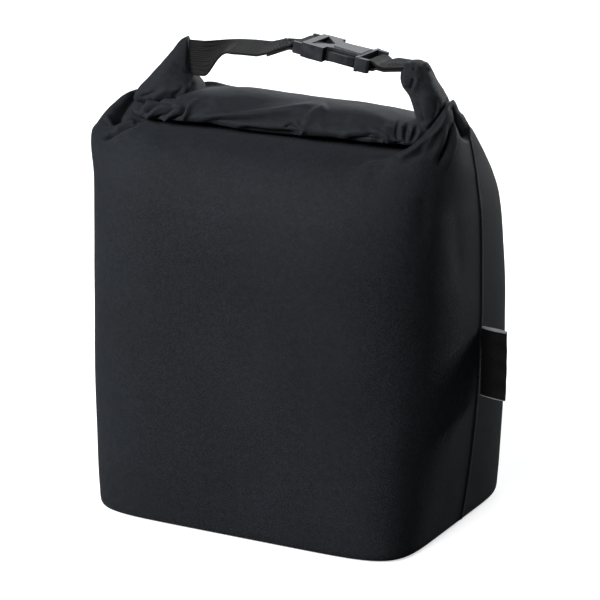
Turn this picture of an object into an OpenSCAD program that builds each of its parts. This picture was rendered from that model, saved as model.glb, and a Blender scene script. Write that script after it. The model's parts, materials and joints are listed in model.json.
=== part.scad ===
// Soft insulated lunch cooler with a roll-top mouth. The two ends of the
// roll fold up into ears, and a webbing handle with a side-release buckle
// joins the ears. Millimetres, +Z up, front face towards -Y, origin at the
// centre of the base on the surface it stands on.

/* [Bag body] */
// Width of the base, left to right
base_w = 200; // [194:1:204]
// Depth of the base, front to back
base_d = 153; // [147:1:156]
// How far each side stands out beyond the base at mid height
side_bulge = 10; // [7:1:12]
// How far the front and the back stand out beyond the base at mid height
face_bulge = 3.5; // [2:0.5:5]
// How far the top leans to the left
top_lean = 4; // [0:0.5:5]
// Outer fabric thickness
fabric_t = 1.0; // [0.8:0.1:1.1]
// Insulation foam thickness
foam_t = 4; // [3:0.5:4.5]
// Lining film thickness
liner_t = 0.6; // [0.4:0.1:0.8]

/* [Rolled mouth] */
// Front to back half width of the flattened roll
roll_a = 19; // [17:0.5:19.5]
// Half height of the flattened roll
roll_b = 9.4; // [8.8:0.1:9.8]
// Thickness of each stiffener strip inside the roll
stiffener_t = 1.2; // [0.8:0.1:1.5]

/* [Handle] */
// Webbing width
web_w = 20; // [18:1:20]
// Webbing thickness
web_t = 1.3; // [1:0.1:1.4]
// Slope of the buckle, left end high
buckle_tilt = 8.5; // [7:0.5:10]

/* [Buckle] */
// Overall width of the buckle
buckle_w = 27; // [26:0.5:28]
// Overall thickness of the buckle
buckle_t = 8; // [7.5:0.1:8.5]
// Width across the two prong heads at rest
prong_span = 24.8; // [24:0.1:25]

/* [Label] */
// Height of the side label
label_h = 40; // [34:1:44]
// How far the label stands out from the seam
label_w = 15; // [12:0.5:17]

/* [Hidden] */
$fn = 48;

bw = base_w / 2;
bd = base_d / 2;
gap = 0.2;              // air between neighbouring layers
seam_a = 3.1;           // the side seams sit a little behind the middle
hinge_y = -15;          // plane of the handle

// Body sections, bottom to neck: height, half width, front, back,
// squareness, sideways lean.
SEC = [
    [  0.3, bw - 2.5,                  -bd + 2.5,               bd - 2.5,               7.0, 0],
    [  3.0, bw - 0.5,                  -bd + 0.4,               bd - 0.4,               6.8, 0],
    [  8.0, bw + side_bulge * 0.15,    -bd - face_bulge * 0.2,  bd + face_bulge * 0.2,  6.2, 0],
    [ 40.0, bw + side_bulge * 0.6,     -bd - face_bulge * 0.7,  bd + face_bulge * 0.7,  5.0, 0],
    [ 80.0, bw + side_bulge * 0.95,    -bd - face_bulge,        bd + face_bulge,        4.2, 0],
    [120.0, bw + side_bulge,           -bd - face_bulge,        bd + face_bulge,        3.7, 0],
    [160.0, bw + side_bulge,           -bd - face_bulge * 0.8,  bd + face_bulge * 0.7,  3.4, -top_lean * 0.25],
    [185.0, bw + side_bulge,           -bd + 0.8,               bd - 2.5,               3.3, -top_lean * 0.5],
    [200.0, bw + side_bulge * 0.95,    -bd + 7.0,               bd - 10.5,              3.1, -top_lean * 0.75],
    [209.0, bw + side_bulge * 0.8,     -bd + 14.5,              bd - 19.5,              3.0, -top_lean * 0.9],
    [215.0, bw + side_bulge * 0.55,    -bd + 23.5,              bd - 28.5,              2.9, -top_lean],
    [219.0, bw + side_bulge * 0.25,    -bd + 34.5,              bd - 38.0,              2.8, -top_lean],
    [220.8, bw + side_bulge * 0.05,    -bd + 52.5,              bd - 45.5,              2.7, -top_lean * 0.9],
    [222.6, bw - 2.5,                  -bd + 68.0,              bd - 52.5,              2.6, -top_lean * 0.8],
    [226.8, bw - 5.5,                  -bd + 74.0,              bd - 62.5,              2.4, -top_lean * 0.5],
    [231.3, bw - 9.0,                  -bd + 76.5,              bd - 69.0,              2.2, -top_lean * 0.2]
];
LAST = len(SEC) - 1;
FOAM_LO = 2;
FOAM_HI = 9;

// ---- surface of the body ----
function hx(i) = SEC[i][1];
function hy(i) = (SEC[i][3] - SEC[i][2]) / 2;
function cy(i) = (SEC[i][3] + SEC[i][2]) / 2;
function rad(i, a) = pow(pow(abs(cos(a)), SEC[i][4]) + pow(abs(sin(a)), SEC[i][4]), -1 / SEC[i][4]);
// Even steps of a crowd together at the four corners.
function crowd(a) = a + 6.4 * sin(4 * a);
function pt(i, a) = let (b = crowd(a), r = rad(i, b)) [SEC[i][5] + hx(i) * r * cos(b), cy(i) + hy(i) * r * sin(b), SEC[i][0]];
function unit(v) = v / norm(v);
function nrm(i, a) = unit(cross(pt(i, a + 1) - pt(i, a - 1), pt(min(i + 1, LAST), a) - pt(max(i - 1, 0), a)));
function inset(i, a, t) = pt(i, a) - nrm(i, a) * t;

// Lining depth: behind the foam low down, against the fabric at the neck.
function liner_at(i) = i <= FOAM_HI ? fabric_t + foam_t + 2 * gap
                     : i == FOAM_HI + 1 ? fabric_t + 1.6
                     : fabric_t + gap;

// Closed solid from two point grids, rows of equal length.
module grid_solid(outer, inner) {
    r = len(outer);
    c = len(outer[0]);
    pts = concat([for (row = outer) each row], [for (row = inner) each row]);
    o = r * c;
    function id(i, j, k) = k * o + i * c + j;
    faces = concat(
        [for (i = [0 : r - 2], j = [0 : c - 2]) each
            [[id(i, j, 0), id(i + 1, j, 0), id(i + 1, j + 1, 0)], [id(i, j, 0), id(i + 1, j + 1, 0), id(i, j + 1, 0)]]],
        [for (i = [0 : r - 2], j = [0 : c - 2]) each
            [[id(i, j, 1), id(i + 1, j + 1, 1), id(i + 1, j, 1)], [id(i, j, 1), id(i, j + 1, 1), id(i + 1, j + 1, 1)]]],
        [for (i = [0 : r - 2]) each
            [[id(i, 0, 0), id(i, 0, 1), id(i + 1, 0, 1)], [id(i, 0, 0), id(i + 1, 0, 1), id(i + 1, 0, 0)]]],
        [for (i = [0 : r - 2]) each
            [[id(i, c - 1, 0), id(i + 1, c - 1, 1), id(i, c - 1, 1)], [id(i, c - 1, 0), id(i + 1, c - 1, 0), id(i + 1, c - 1, 1)]]],
        [for (j = [0 : c - 2]) each
            [[id(0, j, 0), id(0, j + 1, 1), id(0, j, 1)], [id(0, j, 0), id(0, j + 1, 0), id(0, j + 1, 1)]]],
        [for (j = [0 : c - 2]) each
            [[id(r - 1, j, 0), id(r - 1, j, 1), id(r - 1, j + 1, 1)], [id(r - 1, j, 0), id(r - 1, j + 1, 1), id(r - 1, j + 1, 0)]]]);
    polyhedron(pts, faces, convexity = 6);
}

// A wall panel between two angles and two rows, at two depths.
module wall(a0, a1, i0, i1, t0, t1, n = 24) {
    grid_solid(
        [for (i = [i0 : i1]) [for (k = [0 : n]) inset(i, a0 + (a1 - a0) * k / n, t0)]],
        [for (i = [i0 : i1]) [for (k = [0 : n]) inset(i, a0 + (a1 - a0) * k / n, t1)]]);
}

// A flat panel with the plan shape of the base.
module base_plate(z, t, shrink) {
    translate([0, 0, z]) linear_extrude(t)
        polygon([for (k = [0 : 71]) let (a = crowd(k * 5), h = bw - 2.5 - shrink, d = bd - 2.5 - shrink)
            [h * rad(0, a) * cos(a), d * rad(0, a) * sin(a)]]);
}

// Plates cut in the X-Z plane and bars that run along X.
module xz_plate(y0, y1) { translate([0, y1, 0]) rotate([90, 0, 0]) linear_extrude(y1 - y0) children(); }
module yz_bar(x0, x1) { translate([x0, 0, 0]) rotate([90, 0, 90]) linear_extrude(x1 - x0) children(); }

// ---- body ----
front_a0 = 180 - seam_a;
front_a1 = 360 + seam_a;
split = 0.06;

module outer_front_panel() { color([0.16, 0.17, 0.19]) wall(front_a0 + split, front_a1 - split, 0, LAST, 0, fabric_t); }
module outer_back_panel()  { color([0.16, 0.17, 0.19]) wall(seam_a + split, 180 - seam_a - split, 0, LAST, 0, fabric_t); }
module outer_base_panel()  { color([0.13, 0.14, 0.15]) base_plate(0, 1, fabric_t + 1.2); }
module base_stiffener()    { color([0.3, 0.3, 0.3]) base_plate(1.15, 1.2, fabric_t + 1.6); }
module foam_base()         { color([0.85, 0.85, 0.86]) base_plate(2.5, 4, fabric_t + 1.6); }
module foam_front() { color([0.85, 0.85, 0.86]) wall(front_a0 + 0.1, front_a1 - 0.1, FOAM_LO, FOAM_HI, fabric_t + gap, fabric_t + gap + foam_t); }
module foam_back()  { color([0.85, 0.85, 0.86]) wall(seam_a + 0.1, 180 - seam_a - 0.1, FOAM_LO, FOAM_HI, fabric_t + gap, fabric_t + gap + foam_t); }
module liner_base() { color([0.8, 0.82, 0.84]) base_plate(6.7, liner_t, fabric_t + foam_t + 1.5); }

// The lining wall is one welded tube, closed by its own seam at the back.
// Its columns stand behind the columns of the foam, so the layers run parallel.
LINER_A = concat(
    [90.1], [for (k = [13 : 24]) seam_a + 0.1 + (179.8 - 2 * seam_a) * k / 24],
    [for (k = [0 : 24]) front_a0 + 0.1 + (front_a1 - front_a0 - 0.2) * k / 24],
    [for (k = [0 : 11]) 360 + seam_a + 0.1 + (179.8 - 2 * seam_a) * k / 24], [449.9]);
module liner_walls() {
    color([0.8, 0.82, 0.84])
    grid_solid(
        [for (i = [FOAM_LO : LAST - 1]) [for (a = LINER_A) inset(i, a, liner_at(i))]],
        [for (i = [FOAM_LO : LAST - 1]) [for (a = LINER_A) inset(i, a, liner_at(i) + liner_t)]]);
}

// Felled side seam: a narrow raised strip over the joint of the two panels.
module seam_strip(a) {
    grid_solid(
        [for (i = [1 : LAST - 5]) [for (k = [-1 : 1]) inset(i, a + k * 1.1, -0.75 + abs(k) * 0.2)]],
        [for (i = [1 : LAST - 5]) [for (k = [-1 : 1]) inset(i, a + k * 1.1, -0.1)]]);
}
module side_seam_left()  { color([0.12, 0.13, 0.14]) seam_strip(180 - seam_a); }
module side_seam_right() { color([0.12, 0.13, 0.14]) seam_strip(seam_a); }

// ---- rolled mouth ----
neck = [3, 234];                       // fold line of the roll, in Y and Z
roll_c = [neck[0] - 4.5 - roll_a, neck[1] - 1.6];
left_base = [-85, 231];                // ear fold, in X and Z
left_tip = [-60.5, 255.5];             // where the left webbing turns
tilt = buckle_tilt;
along = [cos(tilt), -sin(tilt)];
buckle_c = [33, 267];
buckle_l = 46.5;
function world(s, y, w) = [buckle_c[0] + (s - buckle_l / 2) * cos(tilt) + w * sin(tilt),
                           hinge_y + y,
                           buckle_c[1] - (s - buckle_l / 2) * sin(tilt) + w * cos(tilt)];
right_tip3 = world(61.8, 0, 2.4);
right_tip = [right_tip3[0], right_tip3[2]];
reach = left_tip - left_base;
right_base = right_tip - (reach - 2 * (reach * along) * along);
ear_r = 8.6;

module roll_outline(d = 0) {
    translate(roll_c) rotate(5) polygon([for (k = [0 : 47]) let (a = k * 7.5, n = 2.3,
        r = pow(pow(abs(cos(a)), n) + pow(abs(sin(a)), n), -1 / n)) [(roll_a - d) * r * cos(a), (roll_b - d) * r * sin(a)]]);
}

// Soft roll: a flattened tube with a flat core, open slots for the ears,
// and a thin fold along the neck.
module rolled_collar() {
    color([0.18, 0.19, 0.21])
    difference() {
        union() {
            yz_bar(-92, 95) roll_outline();
            yz_bar(-80, 80) translate(neck) circle(1.8);
            yz_bar(-80, 80) polygon([neck + [-7, -1.2], neck + [0, -1.6], neck + [0, 1.7], neck + [-9, 5]]);
        }
        // flat core that the stiffener strips lie in
        yz_bar(-72, 79) translate(roll_c) rotate(5) square([2 * roll_a - 9, 4.2], center = true);
        ear_slot(left_base, -1);
        ear_slot(right_base, 1);
    }
}
module ear_slot(b, side) {
    xz_plate(hinge_y - 9.5, hinge_y + 9.5) {
        translate(b) circle(ear_r + 0.7);
        polygon([b + [side * 30, -5], b + [side * 2, -ear_r - 0.7], b + [-side * 6, -7.6], b + [-side * 26, 10], b + [-side * 30, 30], b + [side * 30, 30]]);
    }
}
module stiffener(w) {
    yz_bar(-70, 77) translate(roll_c) rotate(5) translate([0, w]) square([2 * roll_a - 12, stiffener_t], center = true);
}
module mouth_stiffener_front() { color([0.35, 0.35, 0.36]) stiffener(1.0); }
module mouth_stiffener_back()  { color([0.35, 0.35, 0.36]) stiffener(-1.0); }

// ---- ears: the two folded-up ends of the roll ----
module left_ear() {
    color([0.2, 0.21, 0.23])
    difference() {
        union() {
            xz_plate(hinge_y - 8.8, hinge_y + 8.8) translate(left_base) circle(ear_r);
            xz_plate(hinge_y - 8.5, hinge_y + 8.5) polygon([left_base + [-5.5, 5.5], left_tip + [-5.5, 12.5], left_tip + [2.5, 11.5], left_tip + [3.5, -9.5],
                     left_base + [11, 3], left_base + [4, -6]]);
        }
        // pocket of the hem: the webbing turns between the two layers
        xz_plate(hinge_y - 1.5, hinge_y + 1.5) {
            translate(left_tip) circle(11);
            polygon([left_tip, left_tip + [14, 10.5], left_tip + [30, 0], left_tip + [20, -30], left_tip + [-10.8, -28], left_tip + [-10.8, 0]]);
        }
    }
}
module right_ear() {
    color([0.2, 0.21, 0.23])
    difference() {
        union() {
            xz_plate(hinge_y - 8.8, hinge_y + 8.8) translate(right_base) circle(ear_r);
            xz_plate(hinge_y - 8.5, hinge_y + 8.5) polygon([right_base + [6.5, 4], right_tip + [15, 2.2], right_tip + [9, 4.2], right_tip + [-1, 4.3],
                     right_tip + [1.5, -4], right_base + [-10, 6], right_base + [-4, -6]]);
        }
        xz_plate(hinge_y - 12, hinge_y + 12) translate(right_tip) circle(2.4);
        xz_plate(hinge_y - 12, hinge_y + 12) polygon([right_tip, right_tip + [-20, 2.4], right_tip + [-30, -20], right_tip + [-2, -30], right_tip + [1.2, -2]]);
    }
}

// ---- webbing ----
// A flat strip swept through stations [centre, width direction].
module ribbon(st, w, t) {
    n = len(st);
    function tan_at(i) = unit(st[min(i + 1, n - 1)][0] - st[max(i - 1, 0)][0]);
    function nn(i) = unit(cross(tan_at(i), st[i][1]));
    function ring(i) = let (c = st[i][0], u = st[i][1] * w / 2, v = nn(i) * t / 2) [c + u + v, c - u + v, c - u - v, c + u - v];
    pts = [for (i = [0 : n - 1]) each ring(i)];
    faces = concat(
        [[0, 1, 2], [0, 2, 3]],
        [for (i = [0 : n - 2], k = [0 : 3]) let (a = 4 * i + k, b = 4 * i + (k + 1) % 4)
            each [[a, a + 4, b + 4], [a, b + 4, b]]],
        [let (m = 4 * (n - 1)) each [[m, m + 2, m + 1], [m, m + 3, m + 2]]]);
    polyhedron(pts, faces, convexity = 6);
}
function bez(p, t) = pow(1 - t, 3) * p[0] + 3 * pow(1 - t, 2) * t * p[1] + 3 * (1 - t) * t * t * p[2] + t * t * t * p[3];
function ease(t) = let (x = min(1, max(0, t))) x * x * (3 - 2 * x);
flat = [0, 1, 0];
ply = web_t / 2 + 0.07;                // half the spacing of two sewn plies
bar_r = 1.4;
turn_r = bar_r + 0.15 + web_t / 2;     // centre line of the webbing round a bar
hang = 12;                             // the left webbing falls away from its bar
left_bar = world(1.4, 0, 0);
function strap(u, v) = [left_bar[0] - u * cos(hang) - v * sin(hang), hinge_y, left_bar[2] - u * sin(hang) + v * cos(hang)];

module left_webbing() {
    start = [left_tip[0] - 1.5, hinge_y, left_tip[1]];
    hem = [left_tip[0] + 12, hinge_y, left_tip[1]];
    curve = [hem, hem + [8, 0, 6.5], strap(34, ply), strap(18.6, ply)];
    path = concat(
        [[start, [0, 0, 1]], [start + [7, 0, 0], [0, 0, 1]]],
        [for (k = [0 : 20]) let (t = k / 20, a = 90 * ease(t * 1.6)) [bez(curve, t), [0, sin(a), cos(a)]]],
        [for (p = [[12, ply], [5.4, ply], [3, turn_r * 0.8]]) [strap(p[0], p[1]), flat]],
        [for (k = [0 : 10]) let (a = 90 - 18 * k) [strap(-turn_r * cos(a), turn_r * sin(a)), flat]],
        [for (p = [[3, -turn_r * 0.8], [5.4, -ply], [18.6, -ply]]) [strap(p[0], p[1]), flat]]);
    color([0.12, 0.12, 0.13]) ribbon(path, web_w, web_t);
}
module right_webbing() {
    rise = 2.4 / 11.8;
    path = concat(
        [for (p = [[60.4, 2.1 + ply], [54, 0.8 + ply], [50, ply], [47.8, turn_r * 0.85]]) [world(p[0], 0, p[1]), flat]],
        [for (k = [0 : 10]) let (a = 90 + 18 * k) [world(45 + turn_r * cos(a), 0, turn_r * sin(a)), flat]],
        [for (p = [[47.8, -turn_r * 0.85], [50, -ply], [54, 0.8 - ply], [60.4, 2.1 - ply]]) [world(p[0], 0, p[1]), flat]]);
    color([0.12, 0.12, 0.13]) {
        ribbon(path, web_w, web_t);
        // rolled end caught in the tip of the ear
        translate([right_tip[0], hinge_y + web_w / 2 - 0.5, right_tip[1]]) rotate([90, 0, 0]) cylinder(r = 1.7, h = web_w - 1);
    }
}

// Buckle frame of reference: s along it, y across, w through it.
module in_buckle() {
    translate([buckle_c[0], hinge_y, buckle_c[1]]) rotate([0, tilt, 0]) translate([-buckle_l / 2, 0, 0]) children();
}
module stitch_row(s0, n, step, y, w, slope = 0) {
    for (k = [0 : n - 1]) translate([s0 + k * step, y, w + k * step * slope]) rotate([0, -atan(slope), 0]) cube([2.2, 0.5, 0.3], center = true);
}
module left_webbing_stitches() {
    color([0.22, 0.22, 0.23]) translate(left_bar) rotate([0, -hang, 0])
        for (y = [-6, -2, 2, 6]) stitch_row(-16.6, 4, 3.2, y, ply + web_t / 2 + 0.22);
}
module right_webbing_stitches() {
    color([0.22, 0.22, 0.23]) in_buckle() for (y = [-6, -2, 2, 6]) stitch_row(55.2, 2, 2.9, y, ply + web_t / 2 + 0.31 + 0.8 + 1.2 * 0.203, 0.203);
}

// ---- side-release buckle ----
bt = buckle_t / 2;
hw = buckle_w / 2;
throat = 9.1;
male_l = 10;
win0 = 19;
win1 = 38.6;
pivot = [8.6, 8.0];

module slab(w0, w1) { translate([0, 0, w0]) linear_extrude(w1 - w0) children(); }
module both() { children(); mirror([0, 1, 0]) children(); }

module buckle_male_frame() {
    color([0.09, 0.1, 0.11]) in_buckle() {
        difference() {
            union() {
                slab(-bt, bt) polygon([[5.6, -hw + 0.6], [male_l - 0.1, -hw + 0.2], [male_l - 0.1, hw - 0.2], [5.6, hw - 0.6]]);
                both() slab(-bt + 0.8, bt - 0.8) polygon([[0, hw - 2.6], [0, hw - 1.6], [0.8, hw - 0.8], [6, hw - 0.6], [6, hw - 2.6]]);
                // centre guide tongue
                slab(-2.3, 2.3) polygon([[male_l - 1, -2.2], [25, -2.2], [27, -1], [27, 1], [25, 2.2], [male_l - 1, 2.2]]);
                // webbing bar
                translate([1.4, hw - 2, 0]) rotate([90, 0, 0]) cylinder(r = bar_r, h = 2 * hw - 4);
            }
            // pockets that the prong roots turn in
            both() translate([pivot[0], pivot[1], -2.6]) cylinder(r = 1.6, h = 5.2);
            both() slab(-2.6, 2.6) polygon([[pivot[0], pivot[1] - 3.4], [12, pivot[1] - 4], [12, pivot[1] + 1.4], [pivot[0], pivot[1] + 1.4]]);
        }
    }
}
module prong() {
    h = prong_span / 2;
    slab(-2.3, 2.3) {
        translate(pivot) circle(1.3);
        polygon([[pivot[0], pivot[1] - 0.9], [19.6, 6.9], [22, 6.6], [35.5, 6.4], [37.6, 7.4], [38.1, 8.6], [36.5, h - 1.9],
                 [33.5, h - 0.5], [30, h], [26, h - 0.1], [22, h - 0.9], [19.6, h - 2.0], [19.4, 8.7], [pivot[0], pivot[1] + 0.9]]);
    }
}
module prong_front() { color([0.1, 0.11, 0.12]) in_buckle() mirror([0, 1, 0]) prong(); }
module prong_back()  { color([0.1, 0.11, 0.12]) in_buckle() prong(); }

module buckle_female() {
    color([0.09, 0.1, 0.11]) in_buckle()
    difference() {
        union() {
            slab(-bt, bt) polygon([[male_l, -hw], [40.4, -hw], [40.4, hw], [male_l, hw]]);
            both() slab(-bt + 0.3, bt - 0.3) polygon([[40, hw - 2.9], [40, hw], [45.5, hw - 0.4], [46.5, hw - 1.4], [46.5, hw - 2.9]]);
            slab(bt - 0.2, bt + 0.6) polygon([[21.5, -5.5], [38.5, -7], [38.5, 7], [21.5, 5.5]]);
            translate([45, hw - 2, 0]) rotate([90, 0, 0]) cylinder(r = bar_r, h = 2 * hw - 4);
        }
        // cavity for the guide tongue and the prongs
        slab(-2.6, 2.6) polygon([[male_l - 1, -throat], [39, -throat], [39, throat], [male_l - 1, throat]]);
        // side windows for the prong heads
        both() slab(-bt - 1, bt + 1) polygon([[win0, throat - 0.2], [win0, hw + 1], [win1, hw + 1], [win1, throat + 0.1],
                                              [win1 - 3, throat - 1.0], [win0 + 3, throat - 1.2]]);
        // vee cut in the mouth, both faces
        slab(-bt - 1, bt + 1) polygon([[male_l - 1, -10.4], [male_l, -10.4], [19.5, 0], [male_l, 10.4], [male_l - 1, 10.4]]);
    }
}

// ---- label in the right side seam ----
label_z = 77;
label_axis = [bw + side_bulge + 2.0, 6.4];
label_dir = -12;
module label_tab() {
    color([0.08, 0.08, 0.09])
    translate([label_axis[0], label_axis[1], label_z]) rotate([0, 0, label_dir]) {
        cylinder(r = 0.8, h = label_h);
        difference() {
            translate([0, -0.8, 0]) cube([label_w, 1.6, label_h]);
            translate([1.2, -0.2, -1]) cube([label_w - 2, 0.4, label_h + 2]);
        }
    }
}

outer_front_panel();
outer_back_panel();
outer_base_panel();
foam_front();
foam_back();
foam_base();
base_stiffener();
liner_walls();
liner_base();
side_seam_left();
side_seam_right();
rolled_collar();
mouth_stiffener_front();
mouth_stiffener_back();
left_ear();
right_ear();
left_webbing();
left_webbing_stitches();
buckle_male_frame();
prong_front();
prong_back();
right_webbing();
right_webbing_stitches();
buckle_female();
label_tab();
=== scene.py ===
# Looks for the soft insulated lunch cooler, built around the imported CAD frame.
# Everything is in metres in the CAD frame. Lengths written below are in
# millimetres and are scaled by MM where a mesh is made.
import json
import math
import bpy
import numpy as np
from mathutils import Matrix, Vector
from mathutils.bvhtree import BVHTree

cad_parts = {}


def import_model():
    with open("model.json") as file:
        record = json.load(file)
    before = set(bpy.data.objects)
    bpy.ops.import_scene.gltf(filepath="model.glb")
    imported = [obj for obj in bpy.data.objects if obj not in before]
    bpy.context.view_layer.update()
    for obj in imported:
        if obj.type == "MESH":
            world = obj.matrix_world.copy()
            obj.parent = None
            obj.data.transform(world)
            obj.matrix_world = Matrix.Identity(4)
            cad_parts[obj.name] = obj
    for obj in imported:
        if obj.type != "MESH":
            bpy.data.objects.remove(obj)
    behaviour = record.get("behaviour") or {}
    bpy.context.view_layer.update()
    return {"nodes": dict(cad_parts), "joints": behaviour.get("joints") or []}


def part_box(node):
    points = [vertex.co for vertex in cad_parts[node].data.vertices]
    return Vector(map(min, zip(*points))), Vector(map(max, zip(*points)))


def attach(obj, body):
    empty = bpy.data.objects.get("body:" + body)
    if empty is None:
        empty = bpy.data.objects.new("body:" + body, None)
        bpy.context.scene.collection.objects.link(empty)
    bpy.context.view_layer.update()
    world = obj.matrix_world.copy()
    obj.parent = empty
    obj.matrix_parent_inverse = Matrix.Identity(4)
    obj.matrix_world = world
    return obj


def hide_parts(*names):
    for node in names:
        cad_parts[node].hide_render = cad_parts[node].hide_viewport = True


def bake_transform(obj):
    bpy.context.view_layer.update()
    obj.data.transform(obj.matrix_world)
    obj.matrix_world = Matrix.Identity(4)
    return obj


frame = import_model()
MM = 0.001
rng = np.random.default_rng(7)

# ------------------------------------------------------------------ anchors
JOINT = {j["name"]: j for j in frame["joints"]}
def jpos(name):
    return np.array(JOINT[name]["pos_m"], float) / MM
NECK = jpos("roll_flip")            # fold line of the roll
LB, LT = jpos("left_ear_fold"), jpos("left_strap_turn")
RB, RT = jpos("right_ear_fold"), jpos("right_strap_turn")
HY = LB[1]                          # plane of the handle
TILT = math.atan2(JOINT["front_prong_squeeze"]["axis"][0], JOINT["front_prong_squeeze"]["axis"][2])
_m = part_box("buckle_male_frame"); _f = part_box("buckle_female")
BUCKLE_C = np.array([33.0, HY, 267.0])
BUCKLE_L = 46.5
def world(s, y, w):
    c, k = math.cos(TILT), math.sin(TILT)
    return np.array([BUCKLE_C[0] + (s - BUCKLE_L / 2) * c + w * k, HY + y, BUCKLE_C[2] - (s - BUCKLE_L / 2) * k + w * c])

# ------------------------------------------------------------------ camera
AZ, EL, DIST, FOCAL = 28.047, 16.151, 1585.327, 2800.0
TARGET = np.array([0.0, 0.0, 130.0])
PC = (299.84, 280.38)               # where the target falls on the 600 x 600 view
_a, _e = math.radians(AZ), math.radians(EL)
BACK = np.array([math.sin(_a) * math.cos(_e), -math.cos(_a) * math.cos(_e), math.sin(_e)])
FWD = -BACK
RIGHT = np.array([math.cos(_a), math.sin(_a), 0.0])
UP = np.cross(RIGHT, FWD)
CAM = TARGET + BACK * DIST

def view_xy(P):
    """Where points (mm) fall on the 600 x 600 view."""
    d = P - CAM
    z = d @ FWD
    return np.stack([PC[0] + FOCAL * (d @ RIGHT) / z, PC[1] - FOCAL * (d @ UP) / z], -1)

# ------------------------------------------------------------------ curves
def smooth01(x):
    x = np.clip(x, 0, 1)
    return x * x * (3 - 2 * x)

def catmull(pts, n, closed=False):
    """n points on a centripetal-free Catmull-Rom curve through pts."""
    p = np.asarray(pts, float)
    m = len(p)
    if closed:
        t = np.linspace(0, m, n, endpoint=False)
        i = np.floor(t).astype(int)
        f = (t - i)[:, None]
        a, b, c, d = p[(i - 1) % m], p[i % m], p[(i + 1) % m], p[(i + 2) % m]
    else:
        t = np.linspace(0, m - 1, n)
        i = np.clip(np.floor(t).astype(int), 0, m - 2)
        f = (t - i)[:, None]
        a, b, c, d = p[np.maximum(i - 1, 0)], p[i], p[i + 1], p[np.minimum(i + 2, m - 1)]
    return 0.5 * (2 * b + (c - a) * f + (2 * a - 5 * b + 4 * c - d) * f ** 2 + (3 * b - a - 3 * c + d) * f ** 3)

def pchip(x, xp, fp):
    """Shape-keeping cubic interpolation of a table."""
    xp, fp, x = np.asarray(xp, float), np.asarray(fp, float), np.asarray(x, float)
    h = np.diff(xp); s = np.diff(fp) / h
    d = np.zeros_like(fp)
    for k in range(1, len(xp) - 1):
        if s[k - 1] * s[k] > 0:
            w1, w2 = 2 * h[k] + h[k - 1], h[k] + 2 * h[k - 1]
            d[k] = (w1 + w2) / (w1 / s[k - 1] + w2 / s[k])
    d[0], d[-1] = s[0], s[-1]
    i = np.clip(np.searchsorted(xp, x, side="right") - 1, 0, len(xp) - 2)
    t = (x - xp[i]) / h[i]
    return ((1 + 2 * t) * (1 - t) ** 2 * fp[i] + t * (1 - t) ** 2 * h[i] * d[i]
            + t * t * (3 - 2 * t) * fp[i + 1] + t * t * (t - 1) * h[i] * d[i + 1])

def value_noise(P, scale, seed=0, octaves=2):
    """Smooth repeatable noise in -1..1 at points P (mm)."""
    out = np.zeros(P.shape[:-1]); amp, tot = 1.0, 0.0
    for o in range(octaves):
        q = P / scale * (2 ** o) + seed * 13.7 + 31.3
        i = np.floor(q).astype(np.int64); f = q - i; f = f * f * (3 - 2 * f)
        def h(dx, dy, dz):
            n = (i[..., 0] + dx) * 374761393 + (i[..., 1] + dy) * 668265263 + (i[..., 2] + dz) * 2147483647 + seed * 974634777
            n = (n ^ (n >> 13)) * 1274126177
            n = n ^ (n >> 16)
            return (n & 0xFFFF) / 32767.5 - 1
        x, y, z = f[..., 0], f[..., 1], f[..., 2]
        v = 0
        for dx in (0, 1):
            for dy in (0, 1):
                for dz in (0, 1):
                    v = v + h(dx, dy, dz) * (x if dx else 1 - x) * (y if dy else 1 - y) * (z if dz else 1 - z)
        out += amp * v; tot += amp; amp *= 0.5
    return out / tot

# ------------------------------------------------------------------ meshes
def grid_normals(P, close_u):
    if close_u:
        du = np.roll(P, -1, 1) - np.roll(P, 1, 1)
    else:
        du = np.gradient(P, axis=1)
    dv = np.gradient(P, axis=0)
    n = np.cross(du, dv)
    return n / np.maximum(np.linalg.norm(n, axis=-1, keepdims=True), 1e-12)

def smooth_shade(me):
    me.polygons.foreach_set("use_smooth", np.ones(len(me.polygons), bool))

def link(me, name):
    o = bpy.data.objects.new(name, me)
    bpy.context.scene.collection.objects.link(o)
    return o

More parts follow.
